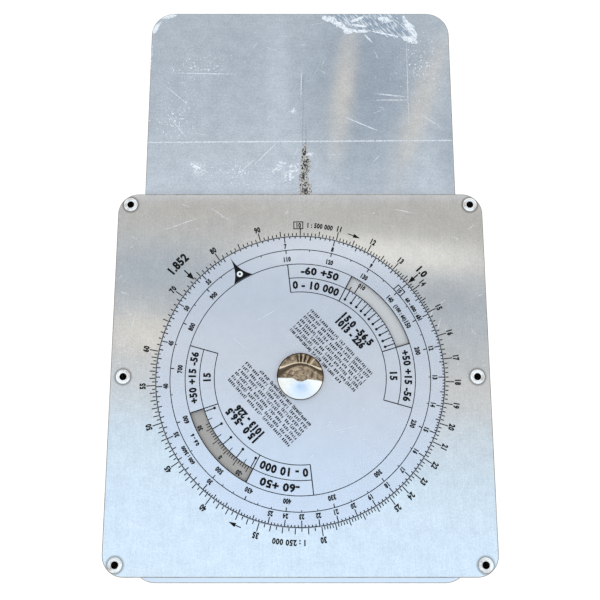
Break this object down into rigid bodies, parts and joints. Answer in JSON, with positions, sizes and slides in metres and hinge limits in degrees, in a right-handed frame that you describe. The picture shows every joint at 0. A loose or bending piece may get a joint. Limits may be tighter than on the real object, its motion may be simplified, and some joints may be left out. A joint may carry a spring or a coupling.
{
  "type": "flight computer",
  "caption": "Flat circular slide-rule flight computer with a turning calculator disc, a turning compass ring with a frosted window and a long slide.",
  "frame": {"origin": "on the pivot axis of the calculator disc, at the flat face of the compass ring that the computer lies on", "axes": "+Z out of the calculator side, +Y towards the drawn-out end of the slide, +X to the right of a reader"},
  "size_m": [0.135, 0.2116, 0.011],
  "materials": {
    "front_plate_aluminium": "satin anodised, printed",
    "back_plate_aluminium": "satin anodised, printed",
    "rail_aluminium": "milled",
    "eyelet_nickel": "nickel plated, rolled",
    "disc_aluminium": "satin anodised, printed",
    "stud_steel": "turned",
    "washer_fibre": "pressed fibre",
    "spring_steel": "hardened, blued",
    "seat_steel": "stamped",
    "cap_chrome": "polished",
    "slide_aluminium": "rolled, scratched",
    "ring_aluminium": "satin anodised, printed",
    "window_acrylic": "frosted for pencil",
    "rivet_aluminium": "pressed",
    "grommet_brass": "rolled"
  },
  "bodies": {
    "body": {"front_plate": "front_plate_aluminium", "back_plate": "back_plate_aluminium", "left_rail": "rail_aluminium", "right_rail": "rail_aluminium", "eyelets": "eyelet_nickel", "pivot_stud": "stud_steel", "thrust_washer": "washer_fibre", "spring_washer": "spring_steel", "cap_seat": "seat_steel", "dome_cap": "cap_chrome"},
    "calculator": {"calculator_disc": "disc_aluminium"},
    "slide": {"slide_plate": "slide_aluminium"},
    "compass": {"compass_ring": "ring_aluminium", "plotting_window": "window_acrylic", "ring_rivets": "rivet_aluminium", "centre_grommet": "grommet_brass"}
  },
  "joints": [
    {"name": "disc_spin", "type": "hinge", "parent": "body", "child": "calculator", "pos_m": [0, 0, 0.0062], "axis": [0, 0, 1], "continuous": true},
    {"name": "slide_travel", "type": "slide", "parent": "body", "child": "slide", "axis": [0, 1, 0], "range_m": [-0.12, 0.05]},
    {"name": "compass_spin", "type": "hinge", "parent": "body", "child": "compass", "pos_m": [0, 0, 0.0017], "axis": [0, 0, 1], "continuous": true}
  ]
}
